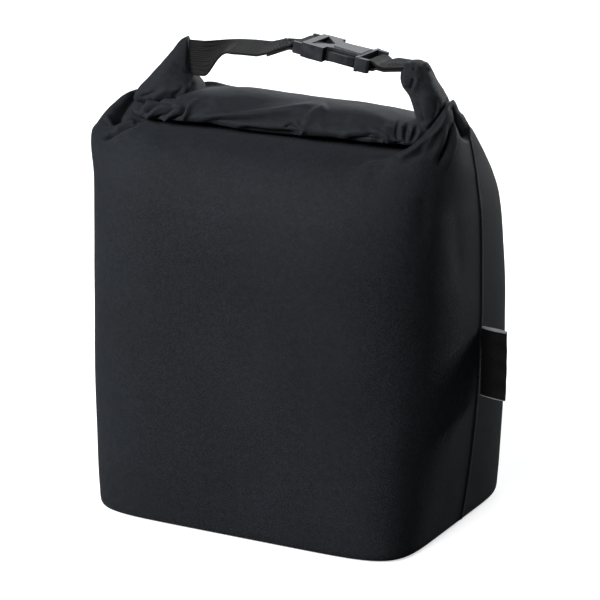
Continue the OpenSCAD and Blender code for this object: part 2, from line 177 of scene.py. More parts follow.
def grid_object(name, P, close_u=False, cap_lo=False, cap_hi=False, flip=False, uv_scale=1.0):
    """A mesh from a grid of points (rows, columns, 3) in mm, with UVs in mm along the grid."""
    nv, nu = P.shape[:2]
    verts = P.reshape(-1, 3) * MM
    ring = np.linalg.norm(np.diff(np.concatenate([P, P[:, :1]], 1) if close_u else P, axis=1), axis=-1)
    ulen = np.concatenate([np.zeros((nv, 1)), np.cumsum(ring, 1)], 1)
    ucoord = ulen.mean(0)
    vstep = np.linalg.norm(np.diff(P, axis=0), axis=-1).mean(1)
    vcoord = np.concatenate([[0], np.cumsum(vstep)])
    faces, uvs = [], []
    cols = nu if close_u else nu - 1
    idx = np.arange(nv * nu).reshape(nv, nu)
    a = idx[:-1, :cols]; b = np.roll(idx, -1, 1)[:-1, :cols]
    c = np.roll(idx, -1, 1)[1:, :cols]; d = idx[1:, :cols]
    quads = np.stack([a, b, c, d], -1).reshape(-1, 4)
    jj, ii = np.meshgrid(np.arange(cols), np.arange(nv - 1))
    u0, u1 = ucoord[jj], ucoord[jj + 1]
    v0, v1 = vcoord[ii], vcoord[ii + 1]
    uvq = np.stack([np.stack([u0, v0], -1), np.stack([u1, v0], -1), np.stack([u1, v1], -1), np.stack([u0, v1], -1)], 2).reshape(-1, 4, 2)
    if flip:
        quads = quads[:, ::-1]; uvq = uvq[:, ::-1]
    verts = verts.tolist(); faces = quads.tolist(); uvl = uvq.reshape(-1, 2)
    extra = []
    for row, want, rev in ((0, cap_lo, True), (nv - 1, cap_hi, False)):
        if want:
            centre = P[row].mean(0) * MM
            verts.append(centre.tolist()); ci = len(verts) - 1
            order = range(nu) if close_u else range(nu - 1)
            for j in order:
                k = (j + 1) % nu
                tri = [idx[row, j], idx[row, k], ci] if not rev else [idx[row, k], idx[row, j], ci]
                if flip:
                    tri = tri[::-1]
                faces.append([int(t) for t in tri]); extra.append(tri)
    me = bpy.data.meshes.new(name)
    me.from_pydata(verts, [], faces)
    lay = me.uv_layers.new(name="UVMap")
    full = np.zeros((len(me.loops), 2)); full[:len(uvl)] = uvl
    if extra:
        flat = np.array(verts)[np.array(extra).reshape(-1)] / MM
        full[len(uvl):] = flat[:, :2]
    lay.data.foreach_set("uv", (full * uv_scale).astype(np.float32).ravel())
    smooth_shade(me)
    me.update()
    return link(me, name)

def join(name, objs):
    """One object from several meshes."""
    bpy.ops.object.select_all(action="DESELECT")
    for o in objs:
        o.select_set(True)
    bpy.context.view_layer.objects.active = objs[0]
    bpy.ops.object.join()
    o = bpy.context.view_layer.objects.active
    o.name = name; o.data.name = name
    return o

def capsule_mesh(a, b, r, n=8, m=3):
    """Grid of points round a short thread from a to b with rounded ends (mm)."""
    a, b = np.asarray(a, float), np.asarray(b, float)
    d = b - a; L = np.linalg.norm(d); d = d / L
    k = np.cross(d, [0, 0, 1.0] if abs(d[2]) < 0.9 else [1.0, 0, 0]); k /= np.linalg.norm(k)
    l = np.cross(d, k)
    rows = []
    for i in range(m):
        t = math.pi / 2 * (i + 0.3) / m
        rows.append((a + d * r * (1 - math.sin(t)), r * math.cos(math.pi / 2 - t)))
    rows += [(p, q) for p, q in [(b - (c - a), q) for c, q in reversed(rows)]]
    g = []
    for c, q in rows:
        g.append([c + (k * math.cos(x) + l * math.sin(x)) * q for x in np.linspace(0, 2 * math.pi, n, endpoint=False)])
    return np.array(g)

def threads(name, pairs, r=0.28):
    """Many short stitches as one mesh."""
    V, F = [], []
    for a, b in pairs:
        g = capsule_mesh(a, b, r)
        nv, nu = g.shape[:2]; o = len(V)
        V.extend((g.reshape(-1, 3) * MM).tolist())
        for i in range(nv - 1):
            for j in range(nu):
                k = (j + 1) % nu
                F.append([o + i * nu + j, o + i * nu + k, o + (i + 1) * nu + k, o + (i + 1) * nu + j])
        F.append([o + j for j in reversed(range(nu))])
        F.append([o + (nv - 1) * nu + j for j in range(nu)])
    me = bpy.data.meshes.new(name); me.from_pydata(V, [], F); smooth_shade(me); me.update()
    return link(me, name)

# ------------------------------------------------------------------ strokes
def stroke(P, N, pts, width, depth, kind="groove", taper=0.25, reach=3.0, zmin=-1e9, mask=None, wide=None):
    """Pushes a surface along its normals near a curve drawn on the 600 x 600 view.
    groove: a valley; ridge: a raised roll; fold: raised on the left of the curve, sunk on its right."""
    shape = P.shape[:-1]
    p = P.reshape(-1, 3); n = N.reshape(-1, 3)
    q = view_xy(p)
    to_cam = CAM - p; to_cam /= np.linalg.norm(to_cam, axis=1, keepdims=True)
    facing = np.clip(((n * to_cam).sum(1) + 0.1) / 0.35, 0, 1)
    c = catmull(pts, max(24, len(pts) * 12))
    lo, hi = c.min(0) - width * reach * 2, c.max(0) + width * reach * 2
    sel = np.where((q[:, 0] > lo[0]) & (q[:, 0] < hi[0]) & (q[:, 1] > lo[1]) & (q[:, 1] < hi[1]) & (facing > 0) & (p[:, 2] > zmin))[0]
    if mask is not None:
        sel = sel[mask.reshape(-1)[sel] > 0]
    if not len(sel):
        return P
    qs = q[sel]
    seg0, seg1 = c[:-1], c[1:]
    best = np.full(len(sel), 1e9); t_at = np.zeros(len(sel)); sign = np.ones(len(sel))
    acc = np.concatenate([[0], np.cumsum(np.linalg.norm(seg1 - seg0, axis=1))]); total = acc[-1]
    for k in range(len(seg0)):
        e = seg1[k] - seg0[k]; L2 = (e @ e) + 1e-12
        t = np.clip(((qs - seg0[k]) @ e) / L2, 0, 1)
        near = seg0[k] + t[:, None] * e
        d = np.linalg.norm(qs - near, axis=1)
        m = d < best
        best[m] = d[m]
        t_at[m] = (acc[k] + t[m] * math.sqrt(L2)) / total
        cr = e[0] * (qs[:, 1] - seg0[k][1]) - e[1] * (qs[:, 0] - seg0[k][0])
        sign[m] = np.sign(cr[m] + 1e-12)
    ends = smooth01(t_at / max(taper, 1e-3)) * smooth01((1 - t_at) / max(taper, 1e-3))
    x = best / width
    if kind == "groove":
        f = -np.exp(-x ** 1.6)
    elif kind == "ridge":
        f = np.exp(-x ** 2)
    elif kind == "fold":
        W = (wide or 4.0)
        f = np.where(sign < 0, np.exp(-(best / (width * W)) ** 2) * np.tanh(x * 2.2 + 0.25), -np.exp(-(best / (width * 1.2)) ** 2) * (1 - 0.15))
    out = p.copy()
    out[sel] += n[sel] * (f * depth * ends * facing[sel])[:, None]
    return out.reshape(*shape, 3)

def keep_outside(P, N, nodes, gap=0.45, reach=14.0, zmin=-1e9):
    """Lifts any point that has sunk under an inner layer back to just above it."""
    trees = []
    for node in nodes:
        o = frame["nodes"][node]
        vs = [o.matrix_world @ v.co / MM for v in o.data.vertices]
        trees.append(BVHTree.FromPolygons(vs, [list(f.vertices) for f in o.data.polygons]))
    p = P.reshape(-1, 3).copy(); n = N.reshape(-1, 3)
    for i in np.where(p[:, 2] > zmin)[0]:
        d = Vector(n[i]); lift = 0.0
        for t in trees:
            hit = t.ray_cast(Vector(p[i]), d, reach)
            at = 0.0
            while hit[0] is not None:
                at += hit[3]
                lift = max(lift, at + gap)
                if at > reach:
                    break
                at += 0.05
                hit = t.ray_cast(Vector(p[i] + n[i] * at), d, reach - at)
        if lift:
            p[i] += n[i] * lift
    return p.reshape(P.shape)

# ------------------------------------------------------------------ materials
class Graph:
    """Short calls for building a node material."""
    def __init__(self, name):
        self.m = bpy.data.materials.new(name); self.m.use_nodes = True
        self.t = self.m.node_tree; self.t.nodes.clear()
        self.out = self.t.nodes.new("ShaderNodeOutputMaterial")
        self.b = self.t.nodes.new("ShaderNodeBsdfPrincipled")
        self.t.links.new(self.b.outputs[0], self.out.inputs[0])
    def new(self, kind, **kw):
        n = self.t.nodes.new(kind)
        for k, v in kw.items():
            setattr(n, k, v)
        return n
    def link(self, a, b):
        self.t.links.new(a, b)
    def put(self, sock, v):
        if hasattr(v, "is_output"):
            self.link(v, sock)
        else:
            sock.default_value = v
    def math(self, op, a, b=0.0, c=None, clamp=False):
        n = self.new("ShaderNodeMath", operation=op, use_clamp=clamp)
        self.put(n.inputs[0], a); self.put(n.inputs[1], b)
        if c is not None:
            self.put(n.inputs[2], c)
        return n.outputs[0]
    def mix(self, f, a, b):
        n = self.new("ShaderNodeMix", data_type="RGBA")
        self.put(n.inputs[0], f)
        self.put(n.inputs[6], a); self.put(n.inputs[7], b)
        return n.outputs[2]
    def noise(self, vec, scale, detail=2.0, rough=0.5, dist=0.0):
        n = self.new("ShaderNodeTexNoise")
        self.link(vec, n.inputs["Vector"]); n.inputs["Scale"].default_value = scale
        n.inputs["Detail"].default_value = detail; n.inputs["Roughness"].default_value = rough
        n.inputs["Distortion"].default_value = dist
        return n.outputs[0]
    def ramp(self, f, lo, hi, a=0.0, b=1.0):
        n = self.new("ShaderNodeMapRange"); n.inputs["From Min"].default_value = lo; n.inputs["From Max"].default_value = hi
        n.inputs["To Min"].default_value = a; n.inputs["To Max"].default_value = b
        self.put(n.inputs["Value"], f)
        return n.outputs[0]
    def coords(self, use_uv):
        tc = self.new("ShaderNodeTexCoord")
        mp = self.new("ShaderNodeMapping")
        if use_uv:
            self.link(tc.outputs["UV"], mp.inputs["Vector"])
        else:
            self.link(tc.outputs["Object"], mp.inputs["Vector"])
            mp.inputs["Scale"].default_value = (1000, 1000, 1000)
        obj = self.new("ShaderNodeMapping"); obj.inputs["Scale"].default_value = (1000, 1000, 1000)
        self.link(tc.outputs["Object"], obj.inputs["Vector"])
        return mp.outputs[0], obj.outputs[0]
    def bump(self, h, strength, distance, prev=None):
        n = self.new("ShaderNodeBump"); n.inputs["Strength"].default_value = strength
        n.inputs["Distance"].default_value = distance
        self.link(h, n.inputs["Height"])
        if prev is not None:
            self.link(prev, n.inputs["Normal"])
        return n.outputs[0]

def rgba(c, k=1.0):
    return (c[0] * k, c[1] * k, c[2] * k, 1.0)

def woven(name, dark, light, pitch=0.42, rough=0.62, sheen=0.3, use_uv=True, twill=0.55, speckle=0.62, bump=0.8, mottle=0.12, spec=0.35, sheen_rough=0.45, sheen_tint=(0.75, 0.8, 0.9)):
    """Fine woven polyester: warp and weft threads, a faint twill line, speckle and slow mottling, with painted shade
    darkening concave creases towards near black.
    """
    g = Graph(name)
    uv, ob = g.coords(use_uv)
    sep = g.new("ShaderNodeSeparateXYZ"); g.link(uv, sep.inputs[0])
    u, v = sep.outputs[0], sep.outputs[1]
    k = math.pi / pitch
    su = g.math("SINE", g.math("MULTIPLY", u, k)); sv = g.math("SINE", g.math("MULTIPLY", v, k))
    warp = g.math("ABSOLUTE", su); weft = g.math("ABSOLUTE", sv)
    over = g.math("GREATER_THAN", g.math("MULTIPLY", g.math("SINE", g.math("MULTIPLY", u, k / 1.0)), g.math("SINE", g.math("MULTIPLY", v, k / 1.0))), 0.0)
    hgt = g.math("ADD", g.math("MULTIPLY", over, warp), g.math("MULTIPLY", g.math("SUBTRACT", 1.0, over), g.math("MULTIPLY", weft, 0.85)))
    diag = g.math("SINE", g.math("MULTIPLY", g.math("ADD", u, v), 2 * math.pi / (pitch * 3.0)))
    hgt = g.math("ADD", hgt, g.math("MULTIPLY", diag, twill * 0.5))
    fine = g.noise(ob, 1.15, 2.0, 0.6)
    slub = g.noise(ob, 0.35, 2.0, 0.55)
    slow = g.noise(ob, 0.018, 3.0, 0.55)
    sp = g.ramp(fine, 0.36, 0.66, 0.0, 1.0)
    tone = g.math("ADD", g.math("MULTIPLY", sp, speckle), g.math("MULTIPLY", hgt, 0.35))
    tone = g.math("ADD", tone, g.math("MULTIPLY", g.ramp(slow, 0.3, 0.7, -1.0, 1.0), mottle))
    tone = g.math("ADD", tone, g.math("MULTIPLY", g.ramp(slub, 0.35, 0.65, -1.0, 1.0), 0.10), clamp=True)
    geo = g.new("ShaderNodeNewGeometry")
    # painted shade: low pointiness (concave folds and creases) mixes the base colour towards near black, standing in
    # for the shade that falls in creases
    crease_shade = g.ramp(geo.outputs["Pointiness"], 0.455, 0.515, 0.30, 1.0)
    g.link(g.mix(crease_shade, (0.0012, 0.0014, 0.0018, 1), g.mix(tone, rgba(dark), rgba(light))), g.b.inputs["Base Color"])
    r = g.math("ADD", g.math("MULTIPLY", fine, 0.16), rough - 0.08)
    g.link(r, g.b.inputs["Roughness"])
    g.b.inputs["Specular IOR Level"].default_value = spec
    g.b.inputs["Sheen Weight"].default_value = sheen
    g.b.inputs["Sheen Roughness"].default_value = sheen_rough
    g.b.inputs["Sheen Tint"].default_value = (*sheen_tint, 1)
    n1 = g.bump(slub, 0.10, 0.0006)
    n2 = g.bump(fine, 0.22, 0.0003, n1)
    n3 = g.bump(hgt, bump, 0.00012, n2)
    g.link(n3, g.b.inputs["Normal"])
    return g.m

def webbing_material(name, dark, light):
    """Ribbed nylon tape: lengthwise ribs with a fine herringbone across them."""
    g = Graph(name)
    uv, ob = g.coords(True)
    sep = g.new("ShaderNodeSeparateXYZ"); g.link(uv, sep.inputs[0])
    u, v = sep.outputs[0], sep.outputs[1]
    rib = g.math("ABSOLUTE", g.math("SINE", g.math("MULTIPLY", u, math.pi / 1.25)))
    zig = g.math("ABSOLUTE", g.math("SUBTRACT", g.math("FRACT", g.math("DIVIDE", u, 2.5)), 0.5))
    her = g.math("SINE", g.math("MULTIPLY", g.math("ADD", v, g.math("MULTIPLY", zig, 3.0)), 2 * math.pi / 1.1))
    fine = g.noise(ob, 2.2, 2.0, 0.6)
    hgt = g.math("ADD", g.math("MULTIPLY", rib, 0.7), g.math("MULTIPLY", her, 0.28))
    tone = g.math("ADD", g.math("MULTIPLY", g.ramp(hgt, -0.2, 1.0), 0.65), g.math("MULTIPLY", fine, 0.35), clamp=True)
    g.link(g.mix(tone, rgba(dark), rgba(light)), g.b.inputs["Base Color"])
    g.b.inputs["Roughness"].default_value = 0.58
    g.b.inputs["Specular IOR Level"].default_value = 0.22
    g.b.inputs["Sheen Weight"].default_value = 0.04; g.b.inputs["Sheen Roughness"].default_value = 0.4
    n = g.bump(fine, 0.25, 0.0002)
    n = g.bump(hgt, 0.8, 0.00035, n)
    g.link(n, g.b.inputs["Normal"])
    return g.m

def plastic(name, col, rough=0.36, grain=0.12, use_uv=False, spec=0.5, edge=0.25):
    """Moulded plastic: fine spark-eroded grain, slight polish change and paler convex edges, partly wear and partly a
    painted highlight on the rims.
    """
    g = Graph(name)
    _, ob = g.coords(False)
    fine = g.noise(ob, 5.0, 2.0, 0.5)
    slow = g.noise(ob, 0.22, 3.0, 0.6)
    geo = g.new("ShaderNodeNewGeometry")
    # paler convex edges: partly wear, partly a painted highlight standing in for the glints on moulded rims
    worn_edge_and_highlight = g.math("MULTIPLY", g.ramp(geo.outputs["Pointiness"], 0.52, 0.62), g.ramp(slow, 0.35, 0.65), clamp=True)
    base = g.mix(g.math("MULTIPLY", slow, 0.5), rgba(col, 0.85), rgba(col, 1.2))
    base = g.mix(g.math("MULTIPLY", worn_edge_and_highlight, edge), base, rgba(col, 3.2))
    g.link(base, g.b.inputs["Base Color"])
    g.link(g.math("ADD", rough - 0.06, g.math("MULTIPLY", slow, 0.14)), g.b.inputs["Roughness"])
    g.b.inputs["Specular IOR Level"].default_value = spec
    n = g.bump(fine, grain, 0.00008)
    n = g.bump(slow, 0.05, 0.0004, n)
    g.link(n, g.b.inputs["Normal"])
    return g.m

def film(name, col):
    """Wipe-clean lining film with a soft shine and faint creasing."""
    g = Graph(name)
    _, ob = g.coords(False)
    slow = g.noise(ob, 0.06, 4.0, 0.6, 0.8)
    fine = g.noise(ob, 0.9, 2.0, 0.5)
    g.link(g.mix(slow, rgba(col, 0.9), rgba(col, 1.08)), g.b.inputs["Base Color"])
    g.b.inputs["Roughness"].default_value = 0.33
    n = g.bump(slow, 0.35, 0.002); n = g.bump(fine, 0.1, 0.0002, n)
    g.link(n, g.b.inputs["Normal"])
    return g.m

def foam_material(name, col):
    """Closed-cell foam: small rounded cells."""
    g = Graph(name)
    _, ob = g.coords(False)
    v = g.new("ShaderNodeTexVoronoi"); g.link(ob, v.inputs["Vector"]); v.inputs["Scale"].default_value = 1.1
    g.link(g.mix(v.outputs["Distance"], rgba(col, 0.86), rgba(col)), g.b.inputs["Base Color"])
    g.b.inputs["Roughness"].default_value = 0.75
    g.link(g.bump(v.outputs["Distance"], 0.4, 0.0004), g.b.inputs["Normal"])
    return g.m

M_SHELL = woven("shell_fabric", (0.0062, 0.0075, 0.0100), (0.0235, 0.0280, 0.0355), sheen=0.08, spec=0.18, rough=0.60, sheen_rough=0.4)
M_BASE = woven("base_fabric", (0.006, 0.0066, 0.008), (0.020, 0.022, 0.026), pitch=0.6, rough=0.7, sheen=0.08, spec=0.2)
M_SEAM = woven("seam_fabric", (0.0065, 0.0075, 0.0095), (0.0260, 0.0290, 0.0345), rough=0.6, sheen=0.1, spec=0.25)
M_WEB = webbing_material("webbing", (0.0012, 0.0012, 0.0014), (0.0125, 0.0125, 0.0140))
M_THREAD = woven("thread", (0.012, 0.012, 0.0135), (0.040, 0.041, 0.045), pitch=0.25, use_uv=False, rough=0.5)
# edge=0.45 strengthens the pale rims of the buckle, mostly a painted highlight for the glints along its edges
M_BUCKLE = plastic("buckle_plastic", (0.018, 0.0195, 0.0245), rough=0.30, spec=0.6, edge=0.45)
M_PRONG = plastic("prong_plastic", (0.016, 0.0175, 0.0215), rough=0.34, spec=0.55)
M_STIFF = plastic("stiffener_plastic", (0.05, 0.05, 0.052), rough=0.5)
M_LINER = film("liner_film", (0.55, 0.57, 0.59))
M_FOAM = foam_material("foam", (0.72, 0.72, 0.73))
M_LABEL = woven("label_weave", (0.004, 0.004, 0.0045), (0.014, 0.014, 0.015), pitch=0.3, rough=0.5, sheen=0.1, twill=0.2, speckle=0.35)
M_LABEL_EDGE = woven("label_back", (0.35, 0.35, 0.36), (0.6, 0.6, 0.62), pitch=0.3, rough=0.6, sheen=0.1, twill=0.2, speckle=0.3)

def paint(o, mat):
    o.data.materials.clear(); o.data.materials.append(mat)
    return o

# ------------------------------------------------------------------ shell
# Height, half width, front, back, squareness, sideways lean of the body.
SEC = np.array([
    [0.0, 97.2, -73.6, 73.6, 7.2, 0.0],
    [0.9, 99.0, -75.4, 75.4, 7.1, 0.0],
    [3.2, 100.2, -76.7, 76.7, 6.9, 0.0],
    [10.0, 101.4, -77.5, 77.5, 6.4, 0.0],
    [40.0, 105.4, -79.2, 79.2, 5.1, 0.0],
    [80.0, 108.8, -80.0, 80.0, 4.3, 0.0],
    [120.0, 110.2, -80.0, 79.8, 3.8, 0.0],
    [160.0, 110.8, -79.0, 78.4, 3.5, -1.0],
    [183.0, 111.0, -76.2, 74.6, 3.3, -2.0],
    [198.0, 110.2, -71.0, 67.5, 3.15, -3.0],
    [208.0, 108.2, -64.0, 59.0, 3.0, -3.6],
    [214.5, 105.6, -55.5, 50.5, 2.9, -4.0],
    [218.6, 102.8, -44.5, 42.0, 2.8, -4.0],
    [220.4, 100.6, -32.0, 35.0, 2.7, -3.6],
    [222.2, 98.0, -14.0, 27.0, 2.6, -3.2],
    [226.6, 94.6, -3.0, 16.0, 2.4, -2.0],
    [231.0, 91.0, 0.4, 8.5, 2.2, -1.0]])
NU = 600
CROWD = 0.112

# Fullness of the two shoulders: centre, reach, shift.
PUSHES = [((-105.5, -34, 213), 16.0, (-3.0, -2.0, 4.2)),
          ((-100, -22, 228), 12.0, (-1.6, -0.6, 2.9)),
          ((-107, -42, 202), 14.0, (-1.0, -1.0, 1.2)),
          ((99, 11, 222), 12.0, (1.6, 1.2, 2.9)),
          ((98, 23, 214), 13.0, (0.8, 0.8, 1.4))]

def shell_grid(nu, rows, inset=0.0):
    """Points on the body. nu columns, rows as positions 0..1 along the table's own length."""
    key = np.concatenate([[0], np.cumsum(np.sqrt(np.diff(SEC[:, 0]) ** 2 + np.diff(SEC[:, 2]) ** 2 * 0.7 + np.diff(SEC[:, 3]) ** 2 * 0.3))])
    key /= key[-1]
    tab = [pchip(rows, key, SEC[:, c]) for c in range(6)]
    ang = np.linspace(0, 2 * math.pi, nu, endpoint=False)
    ang = ang + CROWD * np.sin(4 * ang)
    z, hx, yf, yb, n, lean = [t[:, None] for t in tab]
    c, s = np.cos(ang)[None], np.sin(ang)[None]
    r = (np.abs(c) ** n + np.abs(s) ** n) ** (-1 / n)
    cy, hy = (yf + yb) / 2, (yb - yf) / 2
    return np.stack([lean + (hx - inset) * r * c, cy + (hy - inset) * r * s, z + 0 * c], -1)

def lift_ridge(P, line, out_w, in_w, side, zmin=188.0, keep=0.0, power=1.6):
    """Raises the top of the body to pass through a ridge line of (x, y, z) points.
    The raise fades over out_w outside the line and in_w inside it. side is the sign of
    the cross product that means outside."""
    L = catmull(line, 120)
    p = P.reshape(-1, 3)
    top = p[:, 2] > zmin
    q = p[top]
    z0 = np.empty(len(L))
    for k in range(len(L)):
        d = np.hypot(q[:, 0] - L[k, 0], q[:, 1] - L[k, 1])
        near = np.argsort(d)[:6]
        z0[k] = q[near, 2].mean()
    z0 = np.convolve(np.pad(z0, 8, mode="edge"), np.ones(17) / 17, mode="valid")
    rise = L[:, 2] - z0
    best = np.full(len(q), 1e9); at = np.zeros(len(q)); sg = np.ones(len(q))
    for k in range(len(L) - 1):
        e = L[k + 1, :2] - L[k, :2]; m = e @ e + 1e-12
        t = np.clip(((q[:, :2] - L[k, :2]) @ e) / m, 0, 1)
        d = np.linalg.norm(q[:, :2] - (L[k, :2] + t[:, None] * e), axis=1)
        b = d < best
        best[b] = d[b]; at[b] = k + t[b]
        cr = e[0] * (q[:, 1] - L[k, 1]) - e[1] * (q[:, 0] - L[k, 0])
        sg[b] = np.sign(cr[b] + 1e-12)
    outside = sg * side > 0
    wdt = np.where(outside, out_w, in_w)
    fall = np.exp(-(best / wdt) ** power)
    fall = np.where(outside, fall, keep + (1 - keep) * fall)
    if keep > 0:
        fall = np.where(outside, fall, fall * np.exp(-(best / (in_w * 5)) ** 2))
    k0 = np.clip(at.astype(int), 0, len(L) - 2); f = at - k0
    r = rise[k0] * (1 - f) + rise[k0 + 1] * f
    fade = smooth01((q[:, 2] - zmin) / 14)
    q = q.copy(); q[:, 2] += r * fall * fade
    out = p.copy(); out[top] = q
    return out.reshape(P.shape)

rows = np.unique(np.concatenate([np.linspace(0, 0.03, 14), np.linspace(0.03, 0.52, 64), np.linspace(0.52, 1.0, 210)]))
SH = shell_grid(NU, rows)
# left shoulder: sweeps up from the side to the foot of the left ear
SH = lift_ridge(SH, [(-108.5, -50, 200), (-107, -41, 207), (-104.5, -34, 215), (-100.5, -27, 223.5), (-95.5, -20, 231), (-90.5, -13, 234.5), (-88, -5, 231), (-86, 5, 227.5), (-80, 13, 224.5), (-70, 18, 223.4)],
                7.0, 4.6, -1, keep=0.05)
# right shoulder: a fold that wraps round the outside of the right ear
SH = lift_ridge(SH, [(70, -49, 217.5), (77, -46.5, 219.5), (83, -42.5, 223), (89, -37.5, 227.5), (93, -31.5, 232.5), (96, -25, 238.5), (98, -18, 244.5), (98, -10, 247), (95, -1, 243.5), (91, 7, 238.5), (85, 13, 232), (76, 17, 226)],
                8.0, 3.2, -1, keep=0.18)
def push(P, centre, radius, vec):
    """Moves a soft ball of the surface along vec."""
    d = np.linalg.norm((P - np.array(centre, float)) / radius, axis=-1)
    return P + np.exp(-d ** 2)[..., None] * np.array(vec, float)

for c, r, v in PUSHES:
    SH = push(SH, c, r, v)
N = grid_normals(SH, True)
zf = smooth01((SH[..., 2] - 6) / 30)
SH = SH + N * (value_noise(SH, 52, 1, 2) * 0.6 * zf)[..., None]
SH = SH + N * (value_noise(SH, 17, 2, 2) * 0.12 * zf)[..., None]
N = grid_normals(SH, True)
if N[len(N) // 2, 0, 0] < 0:
    N = -N
def shell_stroke(pts, width, depth, kind="groove", **kw):
    global SH
    SH = stroke(SH, N, pts, width, depth, kind, zmin=120.0, **kw)
# left shoulder: deep valley between the shoulder and the knot, and two long creases
shell_stroke([(143, 86), (135, 95), (127, 104), (119, 114), (111, 123)], 4.2, 5.0, taper=0.12)
shell_stroke([(110, 125), (122, 121), (134, 119), (148, 119)], 2.0, 3.8, taper=0.2)
shell_stroke([(113, 129), (125, 124.5), (138, 122.5)], 2.2, 1.5, "ridge", taper=0.25)
shell_stroke([(101, 141), (112, 135), (124, 128.5), (140, 122.5)], 2.0, 3.6, taper=0.25)
shell_stroke([(108, 144), (124, 134), (142, 126)], 4.0, 1.1, "ridge", taper=0.3)
shell_stroke([(104, 124), (109, 114), (118, 103)], 4.5, 1.0, "ridge", taper=0.3)
# right shoulder: pleats below the wrap
shell_stroke([(453, 112), (452.5, 126), (448.5, 141), (443.5, 154), (437, 168)], 2.1, 3.6, taper=0.3)
shell_stroke([(449, 103), (446, 114), (441, 124), (434, 133), (425, 141)], 2.6, 2.0, "ridge", taper=0.3)
shell_stroke([(446, 120), (443, 134), (437, 150), (428, 165)], 4.6, 1.5, "ridge", taper=0.4)
shell_stroke([(456.5, 124), (456, 139), (451, 156), (444, 172)], 2.6, 1.3, "ridge", taper=0.4)
shell_stroke([(452.5, 104), (456, 116), (461, 128), (467.5, 143)], 2.0, 3.6, taper=0.25)
shell_stroke([(457, 108), (463, 121), (471, 138)], 2.0, 1.4, "ridge", taper=0.35)
shell_stroke([(395, 156.5), (403, 155), (414, 149), (425, 139.5), (431, 133)], 1.8, 1.0, "ridge", taper=0.25)
shell_stroke([(397, 160), (405, 160), (416, 155), (428, 146)], 3.0, 1.2, taper=0.35)
shell_stroke([(436, 130), (430, 141), (420, 152)], 4.0, 0.9, "ridge", taper=0.4)
# soft drag lines that run out from the ends of the roll into the front
shell_stroke([(392, 156), (380, 168), (362, 184)], 7.0, 0.9, taper=0.4)
shell_stroke([(150, 128), (170, 142), (196, 156)], 8.0, 0.8, taper=0.4)
shell_stroke([(428, 168), (424, 210), (421, 260)], 10.0, 1.0, taper=0.45)
shell_stroke([(452, 185), (458, 240), (461, 300)], 9.0, 0.8, taper=0.45)
N = grid_normals(SH, True)
if N[len(N) // 2, 0, 0] < 0:
    N = -N
SH = keep_outside(SH, N, ("foam_front", "foam_back", "liner_walls"), zmin=192.0, reach=12.0)
N = grid_normals(SH, True)
if N[len(N) // 2, 0, 0] < 0:
    N = -N
SHELL = grid_object("shell", SH, close_u=True)
paint(SHELL, M_SHELL)
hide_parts("outer_front_panel", "outer_back_panel")
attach(SHELL, "bag")

# base panel with a bound edge
bp = shell_grid(300, np.array([0.0]))[0]
BP = np.stack([np.stack([bp[:, 0] * r, bp[:, 1] * r, np.full(len(bp), z)], -1) for r, z in
               ((1.004, 1.4), (1.006, 0.8), (1.0, 0.25), (0.985, 0.0), (0.9, 0.0), (0.7, 0.0), (0.45, 0.0), (0.2, 0.0), (0.02, 0.0))])
BASE = grid_object("base_panel", BP, close_u=True, cap_hi=True, flip=True)
paint(BASE, M_BASE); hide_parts("outer_base_panel"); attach(BASE, "bag")

# ------------------------------------------------------------------ side seams
def shell_at(row, a_deg):
    """Point and normal on the body at a row and an angle in grid degrees."""
    c = (a_deg % 360) / 360 * NU
    i = int(c); f = c - i
    P0, P1 = SH[row, i % NU], SH[row, (i + 1) % NU]
    n = N[row, i % NU] * (1 - f) + N[row, (i + 1) % NU] * f
    return P0 * (1 - f) + P1 * f, n / np.linalg.norm(n)

def side_seam(name, a, ridge_out, stitch_side, node, body="bag"):
    """Felled seam: a raised strip along the side with a row of stitches beside it."""
    sel = [r for r in range(len(SH)) if 1.6 < SH[r, int((a % 360) / 360 * NU) % NU, 2] < 243 and r < len(SH) - 26]
    prof = [(-1.9, -0.5), (-1.75, 0.15), (-1.2, ridge_out * 0.8), (-0.3, ridge_out), (0.8, ridge_out * 0.95), (1.5, ridge_out * 0.55), (1.9, -0.5)]
    g = []
    for r in sel:
        p, n = shell_at(r, a)
        q, _ = shell_at(r, a + 1.2)
        side = q - p; side -= n * (side @ n); side /= np.linalg.norm(side)
        g.append([p + side * u + n * w for u, w in prof])
    o = grid_object(name, np.array(g))
    paint(o, M_SEAM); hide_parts(node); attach(o, body)
    pairs, run, last = [], 0.0, None
    path = []
    for r in sel:
        p, n = shell_at(r, a)
        q, _ = shell_at(r, a + 1.2)
        side = q - p; side -= n * (side @ n); side /= np.linalg.norm(side)
        path.append(p + side * stitch_side * 0.75 + n * (ridge_out + 0.02))
    path = np.array(path)
    d = np.concatenate([[0], np.cumsum(np.linalg.norm(np.diff(path, axis=0), axis=1))])
    s = 2.0
    while s + 2.0 < d[-1]:
        a0 = [np.interp(s, d, path[:, k]) for k in range(3)]; a1 = [np.interp(s + 1.9, d, path[:, k]) for k in range(3)]
        pairs.append((a0, a1)); s += 2.8
    t = threads(name + "_stitches", pairs, 0.17)
    paint(t, M_THREAD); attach(t, body)
    return o
side_seam("seam_right", 3.1, 0.55, -1, "side_seam_right")
side_seam("seam_left", 176.9, 0.55, 1, "side_seam_left")

